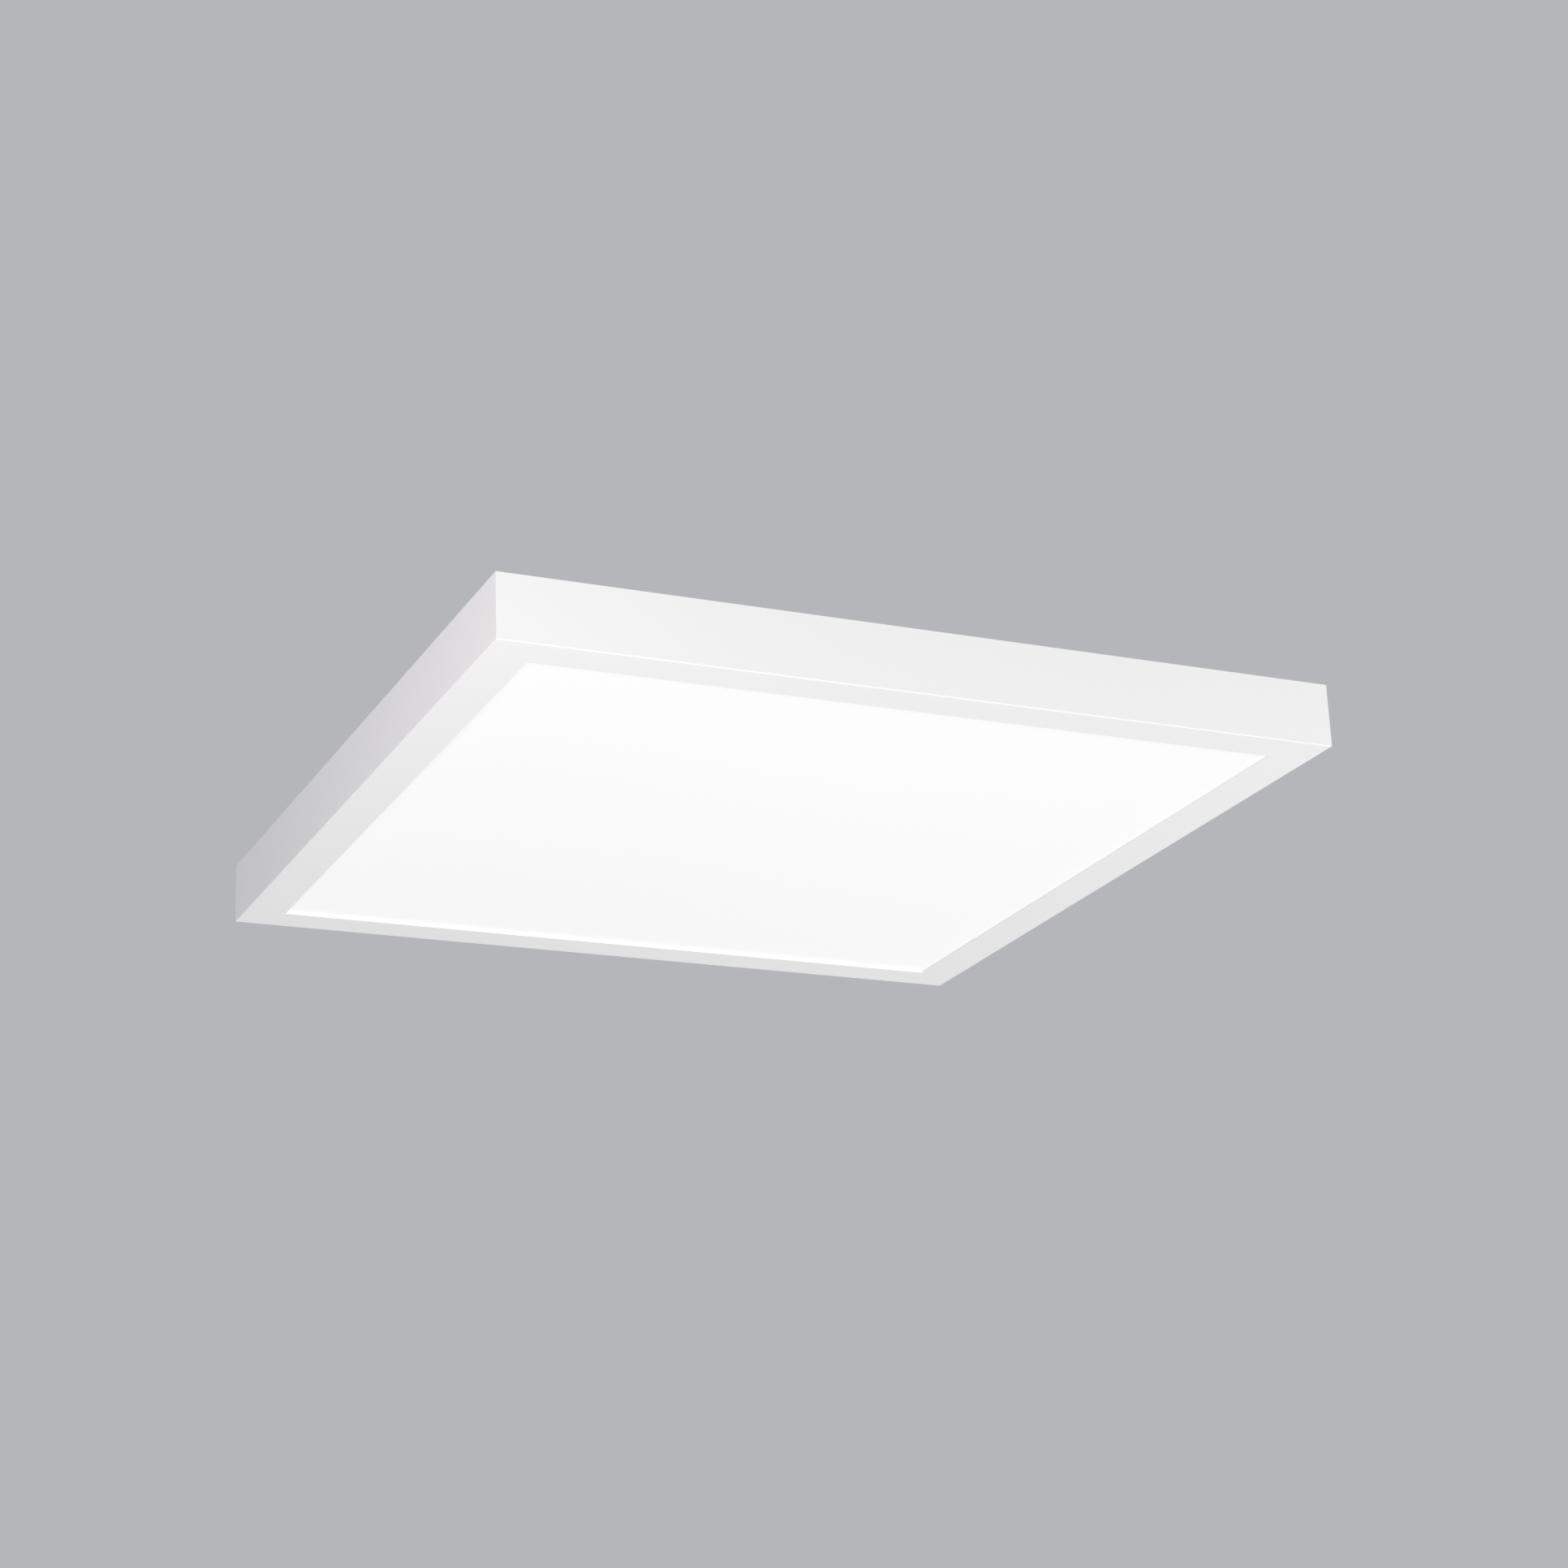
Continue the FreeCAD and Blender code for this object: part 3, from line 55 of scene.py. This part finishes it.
# ---- backdrop and light ----
BACKDROP = (0.4621, 0.4678, 0.4910)
FLOOR_DROP = 2.4          # floor below the ceiling
FLOOR_RADIUS = 40.0
FLOOR_SIDES = 96
LIGHTS = (
    # name, place, aim,
    # width, height, power in watts, colour
    ("near_left_softbox", (-0.70, -0.50, -0.28), (-0.2, -0.18, -0.02),
     0.35, 0.35, 2.6, (1.0, 0.94, 0.935)),
    ("right_softbox", (1.3, -1.3, -0.5), (0.1, 0.0, -0.02),
     0.8, 0.8, 8.6, (1.0, 0.93, 0.83)),
    ("front_softbox", (0.6, -1.7, -0.5), (0.1, 0.0, -0.02),
     1.0, 0.6, 6.1, (0.93, 0.965, 0.97)),
    ("low_softbox", (0.2, -0.3, -1.6), (0.0, 0.0, -0.02),
     1.2, 1.2, 3.2, (0.98, 1.0, 0.94)),
    ("low_front_softbox", (0.3, -0.9, -1.3), (0.0, -0.1, -0.02),
     1.0, 1.0, 2.8, (0.94, 0.98, 0.98)),
    ("low_rear_softbox", (0.8, 0.8, -1.4), (0.0, 0.0, -0.02),
     1.0, 1.0, 5.0, (1.0, 0.96, 0.97)),
    ("back_softbox", (1.2, 1.8, 1.5), (0.0, 0.0, 0.0),
     1.4, 1.4, 13.0, (1.0, 0.99, 0.97)),
)

# ---- details of the pieces ----
OPAL_GLOW = 0.49          # emission of the diffuser
EDGE_GLOW = 0.01          # how much brighter it is at its lit edges
LIT_FROM = 0.80           # share of its half width where that starts
LED_GLOW = 1.5
LED_PITCH = 6.8 * MM      # from one LED to the next along a board
STRIPE_WAVE = 5200.0      # radians of the earth lead's stripe per metre
STRIPE_SLANT = 0.3
TAPE_BELOW_TOP = 1.6 * MM  # from the top of the core to the tape on its winding
TAPE_EDGE = 0.02          # softness of the tape's ends, as a share of the quarter length
SLEEVE_STRIPE_DEPTH = 1.2 * MM
SOFT_EDGE = 0.1 * MM      # from one colour to the next


def make_camera():
    data = bpy.data.cameras.new("camera")
    data.lens = CAMERA_LENS
    data.sensor_width = SENSOR_WIDTH
    camera = bpy.data.objects.new("camera", data)
    bpy.context.scene.collection.objects.link(camera)
    turn = Matrix.Rotation(math.radians(-CAMERA_HEADING), 4, "Z")
    lift = Matrix.Rotation(math.radians(90 + CAMERA_PITCH), 4, "X")
    roll = Matrix.Rotation(math.radians(CAMERA_ROLL), 4, "Z")
    camera.matrix_world = Matrix.Translation(CAMERA_PLACE) @ turn @ lift @ roll
    bpy.context.scene.camera = camera


def make_world():
    world = bpy.data.worlds.new("studio")
    world.use_nodes = True
    background = world.node_tree.nodes["Background"]
    background.inputs["Color"].default_value = (*BACKDROP, 1.0)
    bpy.context.scene.world = world
    settings = bpy.context.scene.view_settings
    settings.view_transform = "Standard"
    settings.look = "None"


def make_lights():
    """Soft boxes that light the object and don't show in the picture."""
    for name, place, aim, width, height, power, colour in LIGHTS:
        data = bpy.data.lights.new(name, "AREA")
        data.shape = "RECTANGLE"
        data.size = width
        data.size_y = height
        data.energy = power
        data.color = colour
        light = bpy.data.objects.new(name, data)
        bpy.context.scene.collection.objects.link(light)
        light.visible_camera = False
        light.location = place
        light.rotation_euler = (Vector(aim) - Vector(place)).to_track_quat("-Z", "Y").to_euler()


# ---- node helpers ----
class Shader:
    """A node material with one Principled shader, and short calls for what feeds it."""

    def __init__(self, name, colour, roughness, **sockets):
        self.material = bpy.data.materials.new(name)
        self.material.use_nodes = True
        self.tree = self.material.node_tree
        self.shader = self.tree.nodes["Principled BSDF"]
        self.shader.inputs["Base Color"].default_value = (*colour, 1.0)
        self.shader.inputs["Roughness"].default_value = roughness
        for socket, value in sockets.items():
            self.shader.inputs[socket.replace("_", " ")].default_value = value
        self.material.diffuse_color = (*colour, 1.0)

    def add(self, kind, **inputs):
        node = self.tree.nodes.new(kind)
        for name, value in inputs.items():
            self.feed(node.inputs[name.replace("_", " ")], value)
        return node

    def feed(self, socket, value):
        """Links a node's output to a socket, or sets the socket to a plain value."""
        if isinstance(value, bpy.types.NodeSocket):
            self.tree.links.new(value, socket)
        else:
            socket.default_value = value

    def place(self, scale=(1.0, 1.0, 1.0)):
        """The point on the piece, in metres, stretched along its axes."""
        mapping = self.add("ShaderNodeMapping", Scale=scale)
        coordinates = self.add("ShaderNodeTexCoord")
        self.feed(mapping.inputs["Vector"], coordinates.outputs["Object"])
        return mapping.outputs["Vector"]

    def axis(self, name):
        split = self.add("ShaderNodeSeparateXYZ", Vector=self.place())
        return split.outputs[name]

    def noise(self, scale, detail, stretch=(1.0, 1.0, 1.0)):
        node = self.add("ShaderNodeTexNoise", Vector=self.place(stretch), Scale=scale, Detail=detail)
        return node.outputs["Fac"]

    def cells(self, scale, output="Distance"):
        node = self.add("ShaderNodeTexVoronoi", Vector=self.place(), Scale=scale)
        return node.outputs[output]

    def span(self, value, low, high, start=0.0, end=1.0):
        """Maps start to low and end to high, and keeps to that range."""
        node = self.add("ShaderNodeMapRange", Value=value)
        node.inputs["From Min"].default_value = start
        node.inputs["From Max"].default_value = end
        node.inputs["To Min"].default_value = low
        node.inputs["To Max"].default_value = high
        return node.outputs["Result"]

    def math(self, operation, first, second=0.0):
        node = self.add("ShaderNodeMath")
        node.operation = operation
        self.feed(node.inputs[0], first)
        self.feed(node.inputs[1], second)
        return node.outputs["Value"]

    def blend(self, factor, first, second):
        """Mixes two colours: the first where the factor is 0, and the second where it is 1."""
        node = self.add("ShaderNodeMix")
        node.data_type = "RGBA"
        self.feed(node.inputs[0], factor)
        for socket, colour in ((node.inputs[6], first), (node.inputs[7], second)):
            self.feed(socket, colour if isinstance(colour, bpy.types.NodeSocket) else (*colour, 1.0))
        return node.outputs[2]

    def colour(self, value):
        self.feed(self.shader.inputs["Base Color"], value)

    def rough(self, value):
        self.feed(self.shader.inputs["Roughness"], value)

    def glow(self, colour, strength):
        self.shader.inputs["Emission Color"].default_value = (*colour, 1.0)
        self.feed(self.shader.inputs["Emission Strength"], strength)

    def bump(self, height, depth, strength):
        node = self.add("ShaderNodeBump", Height=height)
        node.inputs["Distance"].default_value = depth
        node.inputs["Strength"].default_value = strength
        self.feed(self.shader.inputs["Normal"], node.outputs["Normal"])


def shade(colour, factor):
    return tuple(min(1.0, channel * factor) for channel in colour)


# ---- materials of the frame and the diffuser ----
def powder_coat(name):
    """Matt white powder coat: a fine orange peel and a hardly visible change of tone."""
    white = (0.90, 0.898, 0.893)
    shader = Shader(name, white, roughness=0.45, Specular_IOR_Level=0.4)
    tone = shader.noise(scale=9.0, detail=4.0)
    peel = shader.noise(scale=650.0, detail=2.0)
    grit = shader.noise(scale=2600.0, detail=1.0)
    relief = shader.math("ADD", peel, shader.math("MULTIPLY", grit, 0.3))
    shader.colour(shader.blend(tone, shade(white, 0.985), shade(white, 1.01)))
    shader.rough(shader.span(grit, low=0.40, high=0.52))
    shader.bump(relief, depth=0.03 * MM, strength=0.5)
    return shader.material


def opal_sheet(name):
    """Opal diffuser lit from behind: even, a little brighter along the lit edges."""
    white = (0.50, 0.50, 0.50)
    shader = Shader(name, white, roughness=0.35)
    low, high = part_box("diffuser")
    half = (high[0] - low[0]) / 2
    side = shader.math("ABSOLUTE", shader.axis("X"))
    lit = shader.span(side, low=0.0, high=1.0, start=half * LIT_FROM, end=half)
    cloud = shader.noise(scale=5.0, detail=2.0)
    even = shader.span(cloud, low=0.985, high=1.0)
    light = shader.math("ADD", even, shader.math("MULTIPLY", lit, EDGE_GLOW))
    shader.colour(shader.blend(cloud, shade(white, 0.99), white))
    shader.glow((1.0, 0.998, 0.994), shader.math("MULTIPLY", light, OPAL_GLOW))
    shader.bump(shader.noise(scale=1800.0, detail=1.0), depth=0.01 * MM, strength=0.3)
    return shader.material


# ---- materials of the optical stack ----
def light_guide(name):
    """Clear acrylic with the printed dots that let the light out."""
    clear = (0.93, 0.96, 0.96)
    shader = Shader(name, clear, roughness=0.06, Transmission_Weight=0.9, IOR=1.49)
    dots = shader.span(shader.cells(scale=420.0), low=1.0, high=0.0, start=0.28, end=0.34)
    shader.colour(shader.blend(dots, clear, (0.98, 0.98, 0.98)))
    shader.rough(shader.span(dots, low=0.05, high=0.6))
    shader.bump(dots, depth=0.02 * MM, strength=0.4)
    return shader.material


def white_film(name):
    """Reflector film with a fine grain."""
    shader = Shader(name, (0.92, 0.92, 0.92), roughness=0.55)
    fine = shader.noise(scale=900.0, detail=2.0)
    shader.colour(shader.blend(fine, (0.90, 0.90, 0.90), (0.94, 0.94, 0.94)))
    shader.bump(fine, depth=0.01 * MM, strength=0.3)
    return shader.material


def foam(name):
    """Closed cell foam, with painted shade that darkens the pits of its cells."""
    shader = Shader(name, (0.36, 0.36, 0.37), roughness=0.9)
    cells = shader.cells(scale=900.0)
    # painted shade: the colour darkens towards the middle of each cell, where the bump sinks into a pit
    shader.colour(shader.blend(cells, (0.24, 0.24, 0.25), (0.42, 0.42, 0.43)))
    shader.bump(cells, depth=0.15 * MM, strength=0.8)
    return shader.material


# ---- metals ----
def zinc_sheet(name):
    """Zinc coated steel sheet: a fine dull grain, faint crystals and rolling lines."""
    shader = Shader(name, (0.52, 0.53, 0.545), roughness=0.5, Metallic=0.85)
    spangle = shader.cells(scale=260.0, output="Color")
    split = shader.add("ShaderNodeSeparateColor", Color=spangle)
    crystal = split.outputs["Red"]
    rolling = shader.noise(scale=160.0, detail=3.0, stretch=(1.0, 14.0, 1.0))
    haze = shader.noise(scale=14.0, detail=4.0)
    grain = shader.noise(scale=1800.0, detail=2.0)
    tone = shader.math("ADD", shader.math("MULTIPLY", crystal, 0.25), shader.math("MULTIPLY", haze, 0.5))
    tone = shader.math("ADD", tone, shader.math("MULTIPLY", grain, 0.25))
    wear = shader.math("ADD", haze, rolling)
    shader.colour(shader.blend(tone, (0.45, 0.46, 0.475), (0.60, 0.61, 0.625)))
    shader.rough(shader.span(wear, low=0.44, high=0.62, start=0.4, end=1.6))
    shader.bump(shader.math("ADD", rolling, grain), depth=0.01 * MM, strength=0.4)
    return shader.material


def bright_steel(name):
    """Zinc plated screws, rivets and pins, with turning marks."""
    shader = Shader(name, (0.72, 0.72, 0.73), roughness=0.28, Metallic=1.0)
    marks = shader.noise(scale=1400.0, detail=3.0, stretch=(1.0, 1.0, 4.0))
    stain = shader.noise(scale=180.0, detail=3.0)
    shader.colour(shader.blend(stain, (0.60, 0.60, 0.60), (0.80, 0.80, 0.81)))
    shader.rough(shader.span(marks, low=0.20, high=0.42))
    shader.bump(marks, depth=0.01 * MM, strength=0.5)
    return shader.material


def spring_wire(name):
    """Oiled spring wire with drawing marks."""
    shader = Shader(name, (0.30, 0.30, 0.31), roughness=0.34, Metallic=1.0)
    drawn = shader.noise(scale=2200.0, detail=2.0, stretch=(6.0, 1.0, 1.0))
    shader.colour(shader.blend(drawn, (0.22, 0.22, 0.23), (0.40, 0.40, 0.41)))
    shader.rough(shader.span(drawn, low=0.26, high=0.44))
    shader.bump(drawn, depth=0.005 * MM, strength=0.5)
    return shader.material


def cast_aluminium(name):
    """Die cast keys with a coarse grain."""
    shader = Shader(name, (0.66, 0.67, 0.68), roughness=0.5, Metallic=1.0)
    grain = shader.noise(scale=700.0, detail=4.0)
    shader.colour(shader.blend(grain, (0.56, 0.57, 0.58), (0.72, 0.73, 0.74)))
    shader.rough(shader.span(grain, low=0.42, high=0.6))
    shader.bump(grain, depth=0.04 * MM, strength=0.7)
    return shader.material


# ---- materials of the electrical pieces ----
def led_board(name):
    """White solder mask, with a band of tin beside each LED."""
    shader = Shader(name, (0.86, 0.86, 0.84), roughness=0.42)
    wave = shader.math("SINE", shader.math("MULTIPLY", shader.axis("Y"), math.tau / LED_PITCH))
    pads = shader.span(wave, low=0.0, high=1.0, start=0.86, end=0.9)
    fine = shader.noise(scale=1200.0, detail=2.0)
    mask = shader.blend(fine, (0.82, 0.82, 0.80), (0.88, 0.88, 0.86))
    shader.colour(shader.blend(pads, mask, (0.72, 0.70, 0.62)))
    shader.rough(shader.span(fine, low=0.34, high=0.48))
    shader.bump(pads, depth=0.05 * MM, strength=0.6)
    return shader.material


def green_board(name):
    """Green solder mask over copper tracks, with the weave just visible."""
    shader = Shader(name, (0.05, 0.22, 0.12), roughness=0.36)
    bricks = shader.add("ShaderNodeTexBrick", Vector=shader.place(), Scale=160.0)
    bricks.inputs["Mortar Size"].default_value = 0.03
    tracks = bricks.outputs["Fac"]
    weave = shader.noise(scale=1500.0, detail=1.0, stretch=(1.0, 4.0, 1.0))
    copper = shader.blend(weave, (0.05, 0.24, 0.13), (0.07, 0.28, 0.15))
    shader.colour(shader.blend(tracks, copper, (0.03, 0.15, 0.08)))
    shader.rough(shader.span(weave, low=0.28, high=0.42))
    shader.bump(tracks, depth=-0.04 * MM, strength=0.6)
    return shader.material


def led_package(name):
    """Yellow phosphor, faintly lit."""
    shader = Shader(name, (0.90, 0.80, 0.36), roughness=0.3)
    fine = shader.noise(scale=2400.0, detail=2.0)
    shader.colour(shader.blend(fine, (0.88, 0.76, 0.32), (0.94, 0.86, 0.46)))
    shader.glow((1.0, 0.96, 0.88), LED_GLOW)
    shader.bump(fine, depth=0.01 * MM, strength=0.4)
    return shader.material


def moulded(name, colour, roughness, grain=900.0, depth=0.03 * MM):
    """Moulded plastic: an eroded mould texture and a slight change of tone."""
    shader = Shader(name, colour, roughness)
    tone = shader.noise(scale=40.0, detail=3.0)
    texture = shader.noise(scale=grain, detail=3.0)
    shader.colour(shader.blend(tone, shade(colour, 0.93), shade(colour, 1.05)))
    shader.rough(shader.span(texture, low=roughness - 0.06, high=roughness + 0.08))
    shader.bump(texture, depth, strength=0.6)
    return shader.material


def insulation(name, colour, stripe=None):
    """Wire insulation, smooth and slightly uneven in tone; the earth lead has a stripe."""
    shader = Shader(name, colour, roughness=0.4)
    wavy = shader.noise(scale=500.0, detail=2.0)
    sleeve = shader.blend(wavy, shade(colour, 0.85), shade(colour, 1.12))
    if stripe:
        slant = shader.math("MULTIPLY", shader.axis("X"), STRIPE_SLANT)
        along = shader.math("ADD", shader.axis("Z"), slant)
        spiral = shader.math("SINE", shader.math("MULTIPLY", along, STRIPE_WAVE))
        sleeve = shader.blend(shader.span(spiral, low=0.0, high=1.0, start=0.0, end=0.2), sleeve, stripe)
    shader.colour(sleeve)
    shader.rough(shader.span(wavy, low=0.34, high=0.5))
    shader.bump(wavy, depth=0.02 * MM, strength=0.4)
    return shader.material


def transformer_core(name):
    """Dark ferrite, with yellow tape over the winding that stands out at its sides."""
    low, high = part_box("transformer")
    middle = (low[0] + high[0]) / 2
    quarter = (high[0] - low[0]) / 4
    tape_top = high[2] - TAPE_BELOW_TOP
    shader = Shader(name, (0.06, 0.06, 0.065), roughness=0.6)
    away = shader.math("ABSOLUTE", shader.math("SUBTRACT", shader.axis("X"), middle))
    inside = shader.span(away, low=1.0, high=0.0,
                         start=quarter * (1 - TAPE_EDGE), end=quarter * (1 + TAPE_EDGE))
    below = shader.span(shader.axis("Z"), low=1.0, high=0.0,
                        start=tape_top - SOFT_EDGE, end=tape_top + SOFT_EDGE)
    tape = shader.math("MULTIPLY", inside, below)
    grain = shader.noise(scale=1100.0, detail=3.0)
    ferrite = shader.blend(grain, (0.035, 0.035, 0.04), (0.10, 0.10, 0.105))
    shader.colour(shader.blend(tape, ferrite, (0.78, 0.58, 0.08)))
    shader.rough(shader.span(grain, low=0.45, high=0.7))
    shader.bump(grain, depth=0.03 * MM, strength=0.6)
    return shader.material


def capacitor_sleeve(name):
    """Black shrink sleeve with the pale stripe of the minus side on top."""
    _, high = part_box("capacitors")
    edge = high[2] - SLEEVE_STRIPE_DEPTH
    shader = Shader(name, (0.03, 0.03, 0.04), roughness=0.22)
    stripe = shader.span(shader.axis("Z"), low=0.0, high=1.0, start=edge, end=edge + SOFT_EDGE)
    fine = shader.noise(scale=600.0, detail=2.0)
    sleeve = shader.blend(fine, (0.02, 0.02, 0.028), (0.045, 0.045, 0.06))
    shader.colour(shader.blend(stripe, sleeve, (0.55, 0.56, 0.58)))
    shader.rough(shader.span(fine, low=0.16, high=0.3))
    shader.bump(fine, depth=0.02 * MM, strength=0.4)
    return shader.material


MATERIALS = {
    "housing_white": powder_coat,
    "diffuser_opal": opal_sheet,
    "guide_clear": light_guide,
    "reflector_white": white_film,
    "foam_grey": foam,
    "zinc_steel": zinc_sheet,
    "screw_steel": bright_steel,
    "spring_steel": spring_wire,
    "key_aluminium": cast_aluminium,
    "board_white": led_board,
    "board_green": green_board,
    "led_yellow": led_package,
    "driver_white": lambda name: moulded(name, (0.80, 0.80, 0.78), 0.48),
    "core_dark": transformer_core,
    "can_black": capacitor_sleeve,
    "connector_grey": lambda name: moulded(name, (0.40, 0.41, 0.42), 0.45),
    "block_grey": lambda name: moulded(name, (0.56, 0.57, 0.58), 0.38, grain=1400.0, depth=0.015 * MM),
    "lever_orange": lambda name: moulded(name, (0.80, 0.20, 0.02), 0.3, grain=1400.0, depth=0.01 * MM),
    "lead_brown": lambda name: insulation(name, (0.13, 0.055, 0.025)),
    "lead_blue": lambda name: insulation(name, (0.02, 0.09, 0.42)),
    "lead_green": lambda name: insulation(name, (0.10, 0.36, 0.04), stripe=(0.75, 0.65, 0.03)),
    "lead_red": lambda name: insulation(name, (0.42, 0.015, 0.012)),
    "lead_black": lambda name: insulation(name, (0.018, 0.018, 0.02)),
    "clip_nylon": lambda name: moulded(name, (0.78, 0.78, 0.72), 0.5, grain=1100.0, depth=0.02 * MM),
    "grommet_rubber": lambda name: moulded(name, (0.025, 0.025, 0.026), 0.62, grain=800.0, depth=0.04 * MM),
    "lug_tin": bright_steel,
}


# ---- pieces ----
def dress_frame(made):
    """Gives each piece of the frame the finish of its slot in the record."""
    for entry in frame["record"]["subparts"]:
        node = frame["nodes"][entry["node"]]
        for place in node.material_slots:
            place.material = made[entry["material_slot"]]


def make_springs(made):
    """Copies each latch spring into a wire object of spring steel, and hides the solid it comes from."""
    for side in ("left", "right"):
        solid = frame["nodes"]["latch_spring_" + side]
        wire = bpy.data.objects.new("spring_wire_" + side, solid.data.copy())
        bpy.context.scene.collection.objects.link(wire)
        wire.matrix_world = solid.matrix_world
        wire.data.materials.clear()
        wire.data.materials.append(made["spring_steel"])
        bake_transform(wire)
        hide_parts("latch_spring_" + side)


def make_floor():
    """A plain pale floor, far below the light."""
    mesh = bpy.data.meshes.new("floor")
    turns = [math.tau * step / FLOOR_SIDES for step in range(FLOOR_SIDES)]
    rim = [(FLOOR_RADIUS * math.cos(turn), FLOOR_RADIUS * math.sin(turn), -FLOOR_DROP) for turn in turns]
    mesh.from_pydata(rim, [], [tuple(range(FLOOR_SIDES))])
    floor = bpy.data.objects.new("floor", mesh)
    bpy.context.scene.collection.objects.link(floor)
    shader = Shader("floor_paint", (0.88, 0.88, 0.885), roughness=0.8, Specular_IOR_Level=0.2)
    cloud = shader.noise(scale=2.0, detail=3.0)
    shader.colour(shader.blend(cloud, (0.875, 0.875, 0.88), (0.885, 0.885, 0.89)))
    mesh.materials.append(shader.material)


make_camera()
make_world()
make_lights()
make_floor()
finishes = {name: build(name) for name, build in MATERIALS.items()}
dress_frame(finishes)
make_springs(finishes)
